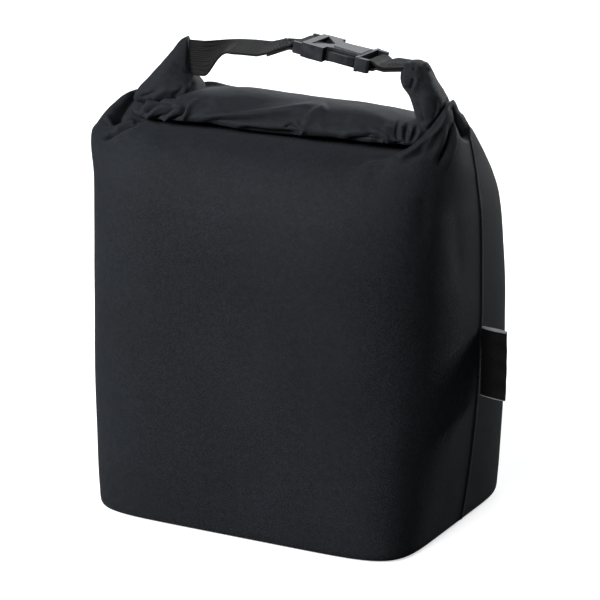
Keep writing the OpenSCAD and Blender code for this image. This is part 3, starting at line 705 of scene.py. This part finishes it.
# ------------------------------------------------------------------ roll
def roll_grid(nx=560, nt=260):
    """Closed flattened roll along X: apron at the back, rounded front, flat underside."""
    base = np.array([[12.0, 224.6], [7.5, 230.5], [1.0, 236.2], [-8, 239.8], [-20, 241.2], [-31, 238.8], [-38.6, 233.0],
                     [-41.8, 227.0], [-38.5, 222.6], [-28, 221.2], [-14, 222.2], [-4, 223.8], [3.5, 224.6], [9, 223.2]])
    loop = catmull(base, nt, closed=True)
    lo, hi = 221.2, 241.2
    x = np.linspace(-97, 99, nx)
    zT = pchip(x, [-97, -88, -76, -66, -52, -36, -24, 0, 35, 54, 72, 84, 92, 99], np.array([230, 232, 233.5, 235.5, 238.6, 241.0, 242.0, 240.9, 240.4, 240.0, 238.3, 235.2, 232, 228.0]))
    zB = pchip(x, [-97, -80, -67, -50, -38, -26, -13, 7, 22, 46, 61, 80, 99], np.array([222.2, 222.2, 222.6, 223.5, 224.0, 223.0, 222.4, 222.6, 223.8, 224.8, 224.4, 225.2, 224.0])) - 0.3
    yF = pchip(x, [-97, -84, -66, -48, 0, 60, 84, 99], np.array([-30.0, -35, -38.5, -41.5, -41.5, -41.5, -39.5, -33]))
    out = []
    for i, xi in enumerate(x):
        end = (xi + 97) / 16 if xi < 0 else (99 - xi) / 16
        k = math.sqrt(max(0.0, 1 - (1 - min(1.0, end)) ** 2.2)) * 0.97 + 0.03 if end < 1 else 1.0
        q = loop.copy()
        q[:, 1] = zB[i] + (q[:, 1] - lo) / (hi - lo) * (zT[i] - zB[i])
        q[:, 0] = np.where(q[:, 0] < HY, HY + (q[:, 0] - HY) * (yF[i] - HY) / (-41.8 - HY), q[:, 0])
        # the back of the neck stands up behind the left ear
        bump = 5.0 * math.exp(-((xi + 60) / 15.0) ** 2)
        q[:, 1] += bump * np.exp(-((q[:, 0] - 0.5) / 5.0) ** 2) * (q[:, 1] > 230)
        c = np.array([HY - 1.0, (zT[i] + zB[i]) / 2])
        q = c + (q - c) * k
        out.append(np.column_stack([np.full(nt, xi), q]))
    return np.array(out)
RO = roll_grid()
RN = grid_normals(RO, True)
if (RN[280] * (RO[280] - RO[280].mean(0))).sum() < 0:
    RN = -RN
RO = RO + RN * (value_noise(RO * [0.7, 1, 1], 19, 5, 2) * 0.9)[..., None]
RO = RO + RN * (value_noise(RO, 8, 6, 2) * 0.18)[..., None]
def roll_stroke(pts, width, depth, kind="groove", **kw):
    global RO
    RO = stroke(RO, RN, pts, width, depth, kind, **kw)
# long diagonal crease: upper layer over a lower band
roll_stroke([(196, 119), (215, 116.2), (235, 114.6), (252, 113.4), (270, 111), (287, 108.6), (306, 106.2), (326, 104.6)], 3.0, 1.5, "ridge", taper=0.18)
roll_stroke([(200, 122.5), (216, 120.8), (235, 119.4), (254, 118.4), (272, 116.2), (290, 113.6), (306, 111.5)], 4.2, 2.0, taper=0.2)
roll_stroke([(215, 109), (240, 105), (268, 101.5), (296, 101.5)], 6.0, 0.9, taper=0.35)
# undercut of the lower band and its two folded ends
roll_stroke([(236, 129.5), (254, 132), (272, 133.8), (290, 134.2), (301, 136)], 3.4, 3.2, taper=0.2)
roll_stroke([(284, 129), (290, 123.5), (296, 127), (302, 134)], 2.0, 1.8, taper=0.15)
roll_stroke([(294, 121), (299, 127), (306, 134)], 2.4, 1.8, "ridge", taper=0.25)
roll_stroke([(302, 130), (307, 121), (316, 112), (330, 105.5)], 4.5, 1.9, "ridge", taper=0.25)
roll_stroke([(318, 127), (334, 122), (352, 123)], 7.0, 1.3, taper=0.35)
roll_stroke([(336, 137), (352, 131), (368, 131.5)], 4.0, 1.2, "ridge", taper=0.3)
roll_stroke([(346, 142.5), (358, 139.5), (370, 139), (383, 143.5)], 3.0, 3.0, taper=0.2)
roll_stroke([(364, 138.5), (370, 133.5), (378, 137), (388, 143)], 1.9, 1.6, taper=0.15)
roll_stroke([(370, 131), (380, 134.5), (392, 142)], 2.4, 1.6, "ridge", taper=0.25)
roll_stroke([(340, 112), (360, 113), (382, 119), (392, 128)], 8.0, 1.0, "ridge", taper=0.35)
# gathers at the right end
for pts, wd, dp, kd in (([(399, 119), (396.5, 127), (396, 135), (399, 144)], 1.7, 1.7, "groove"), ([(402.5, 121), (401.5, 130), (403, 141)], 2.0, 0.8, "ridge"),
                        ([(407.5, 122), (405.5, 130), (404.5, 137), (407, 144)], 1.6, 2.2, "groove"), ([(411, 128), (411.5, 134), (409.5, 141)], 1.8, 0.9, "ridge"),
                        ([(417, 124), (415, 131), (412, 138), (411, 144)], 1.7, 2.0, "groove"), ([(421, 129), (419, 135), (415, 142)], 1.8, 1.0, "ridge"),
                        ([(389, 122), (386.5, 130), (388, 140)], 4.5, 0.8, "ridge"), ([(404, 141), (398, 143.5), (391, 144)], 1.8, 1.4, "groove")):
    roll_stroke(pts, wd, dp, kd, taper=0.35)
# gathers of the knot under the left ear
for pts, wd, dp, kd in (([(141, 117), (146, 110), (155, 103), (168, 98), (180, 97.5)], 1.8, 4.4, "groove"),
                        ([(143, 119), (151, 115), (160, 109), (171, 104)], 2, 2.1, "ridge"),
                        ([(152, 119.5), (160, 116), (168, 110.5), (176, 104)], 1.5, 3.1, "groove"),
                        ([(160, 120), (169, 117), (177, 111), (183, 105)], 2.3, 2, "ridge"),
                        ([(166, 121), (174, 118.5), (181, 113), (187, 103)], 1.4, 3.6, "groove"),
                        ([(146, 120.5), (156, 119), (164, 113)], 1.2, 1.6, "groove"),
                        ([(180, 121.5), (186, 115), (190, 106), (200, 98)], 2.1, 1.7, "ridge"),
                        ([(186, 121), (192, 113), (201, 105), (214, 100)], 4.4, 1.3, "groove"),
                        ([(134, 112), (139, 103), (146, 97)], 2.3, 3.9, "groove")):
    roll_stroke(pts, wd, dp, kd, taper=0.28)
RO = keep_outside(RO, RN, ("mouth_stiffener_front", "mouth_stiffener_back"), reach=6.0)
ROLL = grid_object("roll", RO, close_u=True, cap_lo=True, cap_hi=True)
paint(ROLL, M_SHELL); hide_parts("rolled_collar")
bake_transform(ROLL)

# ------------------------------------------------------------------ ears
def ear_grid(ribs, nt=220, nv=260, lin=None):
    """Ribs: outer point (x, z), inner point (x, z), half thickness, y centre, roundness."""
    r = np.array(ribs, float)
    mid = (r[:, :2] + r[:, 2:4]) / 2
    wd = np.linalg.norm(np.diff(r[:, :2], axis=0), axis=1) + np.linalg.norm(np.diff(r[:, 2:4], axis=0), axis=1) + 0.6
    key = np.concatenate([[0], np.cumsum(wd)]); key /= key[-1]
    t = np.linspace(0, 1, nv)
    tab = [pchip(t, key, r[:, c]) for c in range(r.shape[1])]
    ang = np.linspace(0, 2 * math.pi, nt, endpoint=False)
    ca, sa = np.cos(ang), np.sin(ang)
    out = []
    for i in range(nv):
        ox, oz, ix, iz, th, yc, n = [c[i] for c in tab]
        O, I = np.array([ox, oz]), np.array([ix, iz])
        c, h = (O + I) / 2, (O - I) / 2
        rr = (np.abs(ca) ** n + np.abs(sa) ** n) ** (-1 / n)
        xz = c[None] + h[None] * (rr * ca)[:, None]
        out.append(np.column_stack([xz[:, 0], yc + th * rr * sa, xz[:, 1]]))
    return np.array(out)

def outward(P):
    n = grid_normals(P, True)
    k = len(P) // 2
    return -n if (n[k] * (P[k] - P[k].mean(0))).sum() < 0 else n

LE = ear_grid([[-88, 224.5, -60, 229.5, 5, -15, 2.2],
               [-93.5, 226.8, -56, 233.5, 10.5, -15.5, 2.3],
               [-95.8, 229.6, -53.5, 237.2, 13.8, -16, 2.5],
               [-94.2, 233.2, -54.6, 240.3, 14.6, -16, 2.6],
               [-91.2, 237.2, -56.4, 243, 13.6, -16, 2.5],
               [-85.8, 242.6, -58.6, 245.4, 11.2, -16, 2.4],
               [-79.2, 250, -60.0, 246.4, 8.2, -15.8, 2.4],
               [-72.2, 258.8, -60.4, 246.6, 5.6, -15.5, 2.5],
               [-66.4, 265.4, -60.6, 246.8, 3.6, -15.2, 2.8],
               [-62.8, 267.3, -60.9, 247.0, 2.6, -15, 3.2]])
LN = outward(LE)
LE = LE + LN * (value_noise(LE, 17, 8, 2) * 0.6)[..., None]
LE = LE + LN * (value_noise(LE, 7, 18, 2) * 0.12)[..., None]
for pts, wd, dp, kd in (([(139, 97.5), (147, 95), (156, 90)], 2.2, 1.0, "groove"), ([(150, 98.5), (160, 94), (168, 86)], 3.4, 0.8, "ridge"),
                        ([(170, 99), (178, 93), (184, 84)], 3.2, 1.1, "groove"), ([(186, 96), (191, 88), (194, 80)], 2.6, 1.0, "groove"),
                        ([(188.3, 40), (187.6, 52), (188, 70)], 1.1, 0.75, "groove"), ([(150, 88), (162, 74), (176, 58)], 9.0, 0.8, "ridge"),
                        ([(166, 88), (174, 74), (182, 60)], 6.0, 0.7, "groove")):
    LE = stroke(LE, LN, pts, wd, dp, kd, taper=0.25)
EARL = grid_object("ear_l", LE, close_u=True, cap_lo=True, cap_hi=True, flip=True)
paint(EARL, M_SHELL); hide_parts("left_ear")
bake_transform(EARL)

RE = ear_grid([[95, 221, 80, 222, 6, -15, 2.2],
               [99, 227, 80, 228, 10, -15, 2.2],
               [100.2, 236, 80.5, 235.4, 11, -15, 2.2],
               [98.4, 243.6, 79.0, 242.6, 11, -15, 2.2],
               [94.8, 250.4, 76.0, 248.8, 10.5, -15, 2.2],
               [90.6, 256.6, 71.8, 253.4, 10.0, -15, 2.2],
               [87.0, 262.0, 70.4, 258.0, 9.2, -15, 2.2],
               [83.6, 265.8, 71.0, 262.6, 8.0, -15, 2.2],
               [79.8, 267.3, 72.6, 266.2, 5.6, -15, 2.2],
               [77.6, 267.5, 74.6, 267.2, 2.6, -15, 2.2]])
EN = outward(RE)
RE = RE + EN * (value_noise(RE, 12, 9, 2) * 0.75)[..., None]
RE = RE + EN * (value_noise(RE, 5, 19, 2) * 0.14)[..., None]
for pts, wd, dp, kd in (([(413.5, 77), (411.5, 84), (408, 92)], 1.7, 1.9, "groove"), ([(417, 76), (416, 84), (412, 93)], 2.6, 0.9, "ridge"),
                        ([(406, 76), (405, 83), (406, 88)], 2.4, 0.9, "ridge"), ([(409, 62), (414, 66), (413, 72)], 1.8, 0.8, "groove"),
                        ([(420, 65), (424, 74), (424, 84)], 3.5, 0.6, "groove"), ([(428, 90), (424, 106), (426, 122)], 6.0, 0.9, "ridge"),
                        ([(417, 100), (421, 112), (424, 126)], 2.4, 0.9, "groove"), ([(436, 96), (437, 108), (432, 124)], 3.0, 0.8, "groove"),
                        ([(404, 62), (402, 66), (401, 72)], 1.6, 0.6, "groove"),
                        ([(450, 97), (445.5, 107), (440, 117), (432, 126), (424, 133)], 2.2, 3.0, "groove"),
                        ([(424, 61), (428, 66), (430, 72)], 2.4, 0.8, "ridge")):
    RE = stroke(RE, EN, pts, wd, dp, kd, taper=0.25)
EARR = grid_object("ear_r", RE, close_u=True, cap_lo=True, cap_hi=True)
paint(EARR, M_SHELL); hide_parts("right_ear")
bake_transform(EARR)

# ------------------------------------------------------------------ webbing
def ribbon_grid(path, widths, wdirs, t=1.3, w=20.0, nrib=8):
    """A woven tape swept along a path: ribbed faces and rounded edges."""
    path = np.asarray(path, float); n = len(path)
    tan = np.gradient(path, axis=0); tan /= np.linalg.norm(tan, axis=1, keepdims=True)
    W = np.asarray(wdirs, float); W /= np.linalg.norm(W, axis=1, keepdims=True)
    nn = np.cross(tan, W); nn /= np.linalg.norm(nn, axis=1, keepdims=True)
    m = 56
    s = np.linspace(-1, 1, m)
    prof = []
    rib = 0.12 * np.abs(np.cos(s * math.pi * nrib * 1.0))
    for k in range(m):
        prof.append((s[k] * (w / 2 - 0.5), t / 2 - 0.12 + rib[k]))
    for a in np.linspace(80, -80, 7):
        prof.append((w / 2 - 0.5 + 0.5 * math.cos(math.radians(a)), (t / 2 - 0.05) * math.sin(math.radians(a))))
    for k in range(m - 1, -1, -1):
        prof.append((s[k] * (w / 2 - 0.5), -(t / 2 - 0.12 + rib[k])))
    for a in np.linspace(-100, -260, 7):
        prof.append((-(w / 2 - 0.5) + 0.5 * math.cos(math.radians(a)), (t / 2 - 0.05) * math.sin(math.radians(a))))
    prof = np.array(prof)
    sc = np.asarray(widths, float)[:, None]
    return path[:, None, :] + W[:, None, :] * (prof[None, :, 0] * sc)[..., None] + nn[:, None, :] * prof[None, :, 1][..., None]

def resample(pts, wd, sc, step=0.8):
    pts, wd, sc = np.asarray(pts, float), np.asarray(wd, float), np.asarray(sc, float)
    d = np.concatenate([[0], np.cumsum(np.linalg.norm(np.diff(pts, axis=0), axis=1))])
    n = int(d[-1] / step) + 2
    s = np.linspace(0, d[-1], n)
    return (np.stack([np.interp(s, d, pts[:, k]) for k in range(3)], -1),
            np.stack([np.interp(s, d, wd[:, k]) for k in range(3)], -1), np.interp(s, d, sc))

PLY = 0.72
BAR = 1.4
TURN = BAR + 0.15 + 0.65
HANG = math.radians(12)
LBAR = world(1.4, 0, 0)
def strap(u, v):
    return np.array([LBAR[0] - u * math.cos(HANG) - v * math.sin(HANG), HY, LBAR[2] - u * math.sin(HANG) + v * math.cos(HANG)])

def left_dir(u):
    """Width direction of the tape u mm before the bar: the front edge hangs lower."""
    a = math.radians(-13 * float(smooth01((u - 4.5) / 15)))
    return np.array([0, math.cos(a), -math.sin(a)])

def left_strap():
    """Upright at the hem, then turning flat with its back edge running nearly level."""
    start = np.array([LT[0] - 1.5, HY, LT[2]])
    pts, wd = [start], [[0, 0, 1.0]]
    for x in np.linspace(LT[0] + 7.5, -25.0, 34):
        a = math.radians(90 * float(smooth01((x + 57.5) / 26.0)) - 13 * float(smooth01((x + 48) / 20)))
        top = float(pchip(np.array([x]), [-62, -53, -41, -29, -16], np.array([265.4, 265.4, 265.9, 266.6, 267.3]))[0])
        pts.append(np.array([x, HY, top - 10 * math.cos(a)])); wd.append([0, math.sin(a), math.cos(a)])
    for u, drop in ((26, 0.9), (18.6, 0.45), (14, 0.1), (9, 0), (5.4, 0)):
        pts.append(strap(u, PLY - drop)); wd.append(left_dir(u))
    for u, v in ((4.0, PLY + 0.35), (2.6, TURN - 0.3), (1.2, TURN - 0.05)):
        pts.append(strap(u, v)); wd.append([0, 1, 0])
    for a in np.linspace(80, -80, 14):
        pts.append(strap(-TURN * math.cos(math.radians(a)), TURN * math.sin(math.radians(a)))); wd.append([0, 1, 0])
    for u, v in ((1.2, -TURN + 0.05), (2.6, -TURN + 0.3), (4.0, -PLY - 0.35), (5.4, -PLY), (12, -PLY), (19.5, -PLY - 0.2)):
        pts.append(strap(u, v)); wd.append(left_dir(u))
    p, w, sc = resample(pts, wd, np.ones(len(pts)))
    return ribbon_grid(p, sc, w)
LS = left_strap()
STRAPL = grid_object("strap_l", LS, close_u=True, cap_lo=True, cap_hi=True, flip=True)
paint(STRAPL, M_WEB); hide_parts("left_webbing")
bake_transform(STRAPL)

def arc(cs, a0, a1, n=14):
    return [world(cs + TURN * math.cos(math.radians(a)), 0, TURN * math.sin(math.radians(a))) for a in np.linspace(a0, a1, n)]
def right_strap():
    pts, wd, sc = [], [], []
    up = ((66.5, 3.4 + PLY, 0.62), (64.5, 2.9 + PLY, 0.68), (60.4, 2.1 + PLY, 0.80), (54, 0.8 + PLY, 0.95), (50, PLY, 1), (48.2, TURN - 0.4, 1), (47, TURN - 0.1, 1))
    for s, w, k in up:
        pts.append(world(s, 0, w)); wd.append([0, 1, 0.12 if s > 50 else 0]); sc.append(k)
    for p in arc(45, 85, 275):
        pts.append(p); wd.append([0, 1, 0]); sc.append(1)
    for s, w, k in ((47, -TURN + 0.1, 1), (48.2, -TURN + 0.4, 1), (50, -PLY, 1), (54, 0.8 - PLY, 0.95), (60.4, 2.1 - PLY, 0.80), (64.5, 2.9 - PLY, 0.68), (66.5, 3.4 - PLY, 0.62)):
        pts.append(world(s, 0, w)); wd.append([0, 1, 0.12 if s > 50 else 0]); sc.append(k)
    p, w, k = resample(pts, wd, sc)
    return ribbon_grid(p, k, w)
RS = right_strap()
STRAPR = grid_object("strap_r", RS, close_u=True, cap_lo=True, cap_hi=True, flip=True)
paint(STRAPR, M_WEB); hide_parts("right_webbing")
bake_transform(STRAPR)

# bar tacks: close zigzag rows
def tack_pairs(place, u0, u1, rows_y, step=1.15, amp=0.9):
    out = []
    for y in rows_y:
        u = u0; k = 0
        while u < u1:
            out.append((place(u, y - amp * (1 if k % 2 else -1) * 0.5), place(u + step, y + amp * (1 if k % 2 else -1) * 0.5)))
            u += step; k += 1
    return out
def on_left(u, y):
    return strap(u, PLY + 0.65 + 0.10) + left_dir(u) * y
tk = tack_pairs(on_left, 7.2, 17.4, (-8.2, -5.2, -1.8, 1.8, 5.2, 8.2))
T1 = threads("tack_l", tk, 0.21); paint(T1, M_THREAD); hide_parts("left_webbing_stitches"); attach(T1, "strap_left")
def on_right(s, y):
    f = (s - 50) / 10.4
    q = world(s, 0, 2.1 * f + PLY + 0.65 + 0.10); q[1] = HY + y
    return q
tk = tack_pairs(on_right, 54.0, 59.5, (-5.6, -2.0, 2.0, 5.6))
T2 = threads("tack_r", tk, 0.21); paint(T2, M_THREAD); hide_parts("right_webbing_stitches"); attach(T2, "strap_right")

# ------------------------------------------------------------------ label
def label_loop():
    """Folded tape: two plies with a rounded fold at the free edge, sewn in at the root."""
    L, t = 14.4, 0.42
    outer, inner = [], []
    for u in np.linspace(-1.5, L, 26):
        b = 0.30 + 0.55 * math.sin(math.pi * min(1, max(0, u / L))) ** 0.8
        outer.append((u, -b - t)); inner.append((u, -b))
    b = 0.30
    for a in np.linspace(-90, 90, 13)[1:-1]:
        outer.append((L + (b + t) * math.cos(math.radians(a)), (b + t) * math.sin(math.radians(a))))
        inner.append((L + b * math.cos(math.radians(a)), b * math.sin(math.radians(a))))
    for u in np.linspace(L, -1.5, 26):
        b = 0.30 + 0.55 * math.sin(math.pi * min(1, max(0, u / L))) ** 0.8
        outer.append((u, b + t)); inner.append((u, b))
    prof = np.array(outer + inner[::-1])
    ax, ay = JOINT["label_flick"]["pos_m"][0] / MM, JOINT["label_flick"]["pos_m"][1] / MM
    g = []
    c, s = math.cos(math.radians(-12)), math.sin(math.radians(-12))
    for z in np.linspace(77.0, 117.0, 81):
        bow = 0.5 * math.sin((z - 77) / 40 * math.pi) + 0.12 * math.sin(z * 0.55)
        u, v = prof[:, 0], prof[:, 1] + bow * smooth01(prof[:, 0] / 14)
        g.append(np.column_stack([ax + u * c - v * s, ay + u * s + v * c, np.full(len(prof), z)]))
    return np.array(g)
LG = label_loop()
LABEL = grid_object("label", LG, close_u=True)
me = LABEL.data
# close both cut edges of the folded tape with quads between the outer and the inner face
bm_v, bm_f = [v.co[:] for v in me.vertices], [list(p.vertices) for p in me.polygons]
nu = LG.shape[1]; half = nu // 2
for row in (0, LG.shape[0] - 1):
    for k in range(half - 1):
        a, b = row * nu + k, row * nu + k + 1
        c, d = row * nu + (nu - 2 - k), row * nu + (nu - 1 - k)
        bm_f.append([a, b, c, d] if row else [d, c, b, a])
new = bpy.data.meshes.new("label_mesh"); new.from_pydata(bm_v, [], bm_f); smooth_shade(new); new.update()
LABEL.data = new
LABEL.data.materials.append(M_LABEL); LABEL.data.materials.append(M_LABEL_EDGE)
idx = np.zeros(len(new.polygons), np.int32); nq = len(me.polygons); idx[nq:] = 1
cen = np.zeros(len(new.polygons) * 3); new.polygons.foreach_get("center", cen); cz = cen.reshape(-1, 3)[:, 2] / MM
idx[(cz > 115.9)] = 1; idx[(cz < 77.5)] = 1
new.polygons.foreach_set("material_index", idx)
e = LABEL.modifiers.new("split", "EDGE_SPLIT"); e.split_angle = math.radians(50)
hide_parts("label_tab"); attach(LABEL, "label")

# ------------------------------------------------------------------ carried-over CAD nodes
def bevel(node, width, seg=3):
    o = frame["nodes"][node]
    b = o.modifiers.new("soft_edges", "BEVEL"); b.width = width * MM; b.segments = seg; b.limit_method = "ANGLE"; b.angle_limit = math.radians(32)
    return o
for node in ("buckle_female", "buckle_male_frame", "prong_front", "prong_back"):
    o = bevel(node, 0.7, 4)
    paint(o, M_PRONG if node.startswith("prong") else M_BUCKLE)
for node, m in (("foam_front", M_FOAM), ("foam_back", M_FOAM), ("foam_base", M_FOAM), ("base_stiffener", M_STIFF), ("liner_walls", M_LINER),
                ("liner_base", M_LINER), ("mouth_stiffener_front", M_STIFF), ("mouth_stiffener_back", M_STIFF)):
    paint(frame["nodes"][node], m)

# ------------------------------------------------------------------ camera, floor, light
cam = bpy.data.cameras.new("camera"); co = bpy.data.objects.new("camera", cam)
bpy.context.scene.collection.objects.link(co)
cam.lens = FOCAL * 36 / 600; cam.sensor_width = 36
cam.shift_x = (300 - PC[0]) / 600; cam.shift_y = (PC[1] - 300) / 600
co.location = Vector(CAM * MM)
co.rotation_mode = "QUATERNION"; co.rotation_quaternion = Vector(-BACK).to_track_quat("-Z", "Y")
cam.clip_start, cam.clip_end = 0.05, 20
bpy.context.scene.camera = co
bpy.context.scene.view_settings.view_transform = "Standard"

WORLD_FILL = 0.08
FLOOR_GLOW = 0.62
def plane(name, size, z):
    me = bpy.data.meshes.new(name)
    s = size / 2
    me.from_pydata([(-s, -s, z), (s, -s, z), (s, s, z), (-s, s, z)], [], [(0, 1, 2, 3)])
    return link(me, name)
floor = plane("floor", 30, -0.0002)
g = Graph("floor"); _, ob = g.coords(False)
nt = g.m.node_tree
ray = g.new("ShaderNodeLightPath")
pale = g.mix(g.noise(ob, 0.002, 2.0), (0.90, 0.90, 0.90, 1), (0.93, 0.93, 0.93, 1))
g.link(g.mix(ray.outputs["Is Camera Ray"], (0.06, 0.06, 0.06, 1), pale), g.b.inputs["Base Color"])
g.b.inputs["Roughness"].default_value = 0.9; g.b.inputs["Specular IOR Level"].default_value = 0.0
g.b.inputs["Emission Color"].default_value = (1, 1, 1, 1)
g.link(g.math("MULTIPLY", ray.outputs["Is Camera Ray"], FLOOR_GLOW), g.b.inputs["Emission Strength"])
paint(floor, g.m)

w = bpy.data.worlds.new("world"); bpy.context.scene.world = w; w.use_nodes = True
wt = w.node_tree; bg = wt.nodes["Background"]; bg.inputs[0].default_value = (1, 1, 1, 1)
lp = wt.nodes.new("ShaderNodeLightPath"); mr = wt.nodes.new("ShaderNodeMapRange")
mr.inputs["To Min"].default_value = WORLD_FILL; mr.inputs["To Max"].default_value = 1.0
wt.links.new(lp.outputs["Is Camera Ray"], mr.inputs["Value"]); wt.links.new(mr.outputs[0], bg.inputs[1])

def area(name, loc, target, size, power, color=(1, 1, 1), size_y=None):
    l = bpy.data.lights.new(name, "AREA"); l.energy = power; l.size = size; l.color = color
    if size_y:
        l.shape = "RECTANGLE"; l.size_y = size_y
    o = bpy.data.objects.new(name, l); bpy.context.scene.collection.objects.link(o)
    o.location = loc
    o.rotation_mode = "QUATERNION"; o.rotation_quaternion = (Vector(target) - Vector(loc)).to_track_quat("-Z", "Y")
    return o
area("key", (-1.60, -1.85, 1.45), (0, 0, 0.15), 1.0, 62, (1.0, 0.995, 0.985))
area("front", (-0.05, -2.1, 1.55), (0, 0, 0.24), 0.8, 34)
area("rim", (0.50, 1.90, 0.85), (0, 0, 0.14), 0.8, 26, (0.98, 1.0, 1.0))
area("back", (-0.66, 1.55, 1.02), (0, 0, 0.26), 1.5, 8.5, (0.92, 0.96, 1.0))
